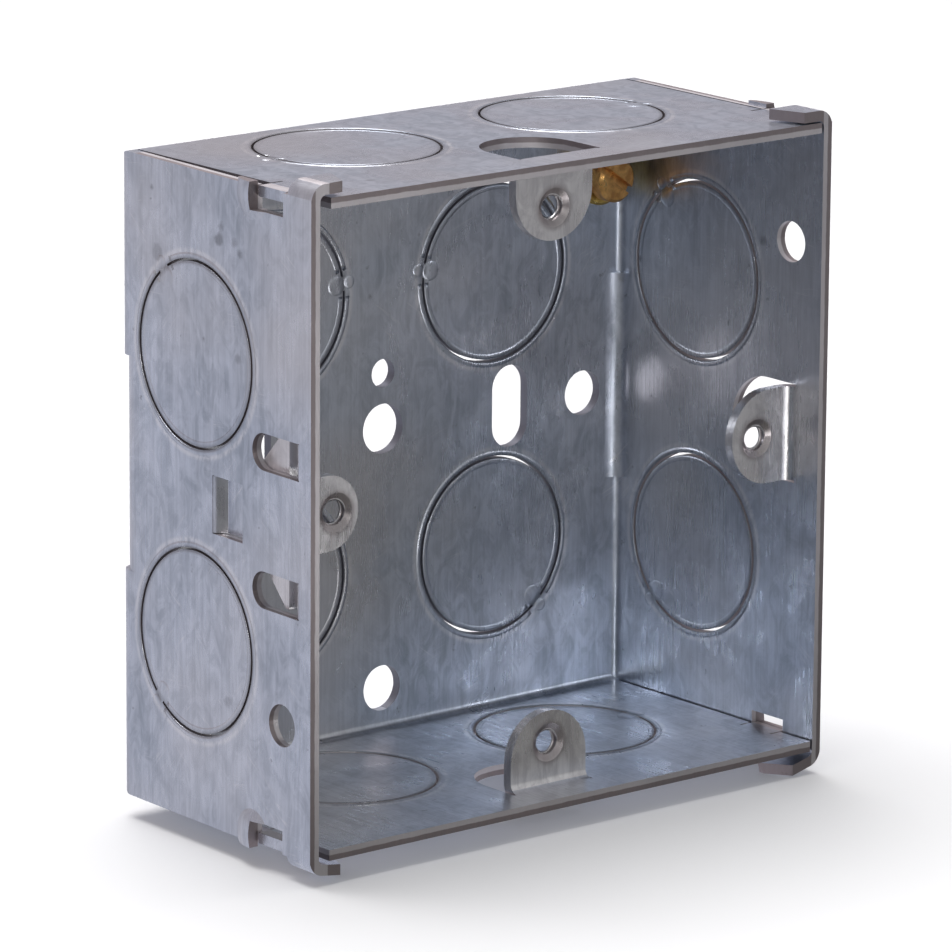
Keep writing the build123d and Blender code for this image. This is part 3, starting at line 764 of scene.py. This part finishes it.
FACES = [
    (-ALONG_Y * SHEET, ALONG_X, ALONG_Z, -ALONG_Y, BACK_TIES),
    (LEFT_MIDDLE, TO_BACK, ALONG_Z, LEFT_OUT, SIDE_TIES),
    (LEFT_MIDDLE - LEFT_OUT * SHEET, TO_BACK, ALONG_Z, -LEFT_OUT, SIDE_TIES),
    (ALONG_X * HALF_WIDTH, ALONG_Y, ALONG_Z, ALONG_X, SIDE_TIES),
    (ALONG_X * (HALF_WIDTH - SHEET), ALONG_Y, ALONG_Z, -ALONG_X, SIDE_TIES),
    (ALONG_Z * HALF_WIDTH, ALONG_X, ALONG_Y, ALONG_Z, FLAT_TIES),
    (ALONG_Z * (HALF_WIDTH - SHEET), ALONG_X, ALONG_Y, -ALONG_Z, FLAT_TIES),
    (-ALONG_Z * HALF_WIDTH, ALONG_X, ALONG_Y, -ALONG_Z, FLAT_TIES),
    (-ALONG_Z * (HALF_WIDTH - SHEET), ALONG_X, ALONG_Y, ALONG_Z, FLAT_TIES),
]


def ridge_rows(profile, middle, across, along, out, tie):
    """Outlines of one ridge, from one side of the tie round to the other, low at both ends."""
    rows = []
    for i in range(RIDGE_STEPS + 1):
        share = i / RIDGE_STEPS
        angle = math.radians(tie + TIE_HALF_ANGLE + (360 - 2 * TIE_HALF_ANGLE) * share)
        height = min(1.0, RIDGE_END + RIDGE_SLOPE * min(share, 1 - share))
        way = across * math.cos(angle) + along * math.sin(angle)
        levels = [(radius, rise * height if rise > 0 else rise) for radius, rise in profile]
        rows.append([middle + (way * radius + out * level) * MM for radius, level in levels])
    return rows


def bump_rows(middle, across, along, out, radius, rise):
    """Outlines of one low round bump, from under the sheet up to its crown."""
    turns = [math.tau * i / BUMP_STEPS for i in range(BUMP_STEPS)]
    ways = [across * math.cos(turn) + along * math.sin(turn) for turn in turns]
    rows = [[middle + (way * radius - out * SUNK) * MM for way in ways]]
    for share, level in BUMP_SHAPE:
        rows.append([middle + (way * radius * share + out * level * rise) * MM for way in ways])
    return rows


ridges = bmesh.new()
for wall_middle, across, along, out, ties in FACES:
    for place_across, place_along, tie in ties:
        middle = wall_middle + (across * place_across + along * place_along) * MM
        for profile in (RIDGE, RIM):
            sweep(ridges, ridge_rows(profile, middle, across, along, out, tie))
        tie_way = across * math.cos(math.radians(tie)) + along * math.sin(math.radians(tie))
        for from_middle_mm, radius, rise in BUMPS:
            bump_middle = middle + tie_way * from_middle_mm * MM
            sweep(ridges, bump_rows(bump_middle, across, along, out, radius, rise))
add_piece("knockout_ridges", ridges, sheet_zinc, "box", (0, 0, 0))

# %% [markdown]
# The lugs are tapped for 3.5 mm screws. The solids have a plain hole at the thread's inner diameter,
# so the crests of the thread are added here: a thin three-sided strip that winds round the hole's wall
# once every 0.6 mm, its ends tapered to nothing.

# %% Threads
PITCH = 0.6 * MM
CREST = 0.28 * MM
STEPS_PER_TURN = 36
HOLE_RADIUS = 1.5 * MM
HALF_BASE = 0.24 * PITCH  # half the width of a crest at its foot
TAPER = 6.0  # a crest fades over one part in so many of its length


def thread_rows(length):
    """Outlines of a thread crest that winds along a hole from front to back."""
    rows = []
    steps = int(length / PITCH * STEPS_PER_TURN)
    for i in range(steps + 1):
        angle = math.tau * i / STEPS_PER_TURN
        depth = -length / 2 + length * i / steps
        crest = CREST * min(1.0, TAPER * i / steps, TAPER * (steps - i) / steps)
        outward = Vector((math.cos(angle), 0, math.sin(angle)))
        root = HOLE_RADIUS + SUNK * MM
        outline = ((root, -HALF_BASE), (HOLE_RADIUS - crest, 0.0), (root, HALF_BASE))
        rows.append([outward * radius + ALONG_Y * (depth + shift) for radius, shift in outline])
    return rows


LUG_MIDDLE_Y = -29.84 * MM
THREADS = [
    ("thread_top", (0, LUG_MIDDLE_Y, HOLE_FROM_MIDDLE), "box", "zinc_steel"),
    ("thread_bottom", (0, LUG_MIDDLE_Y, -HOLE_FROM_MIDDLE), "box", "zinc_steel"),
    ("thread_right", (HOLE_FROM_MIDDLE, LUG_MIDDLE_Y, 0), "box", "zinc_steel"),
    ("thread_left", (-HOLE_FROM_MIDDLE, LUG_MIDDLE_Y, LOOSE_LUG_LEVEL), "lug_slider", "lug_steel"),
]
THREAD_LENGTH = 0.76 * MM
for name, middle, body, finish in THREADS:
    crests = bmesh.new()
    sweep(crests, thread_rows(THREAD_LENGTH))
    add_piece(name, crests, lug_zinc, body, middle)
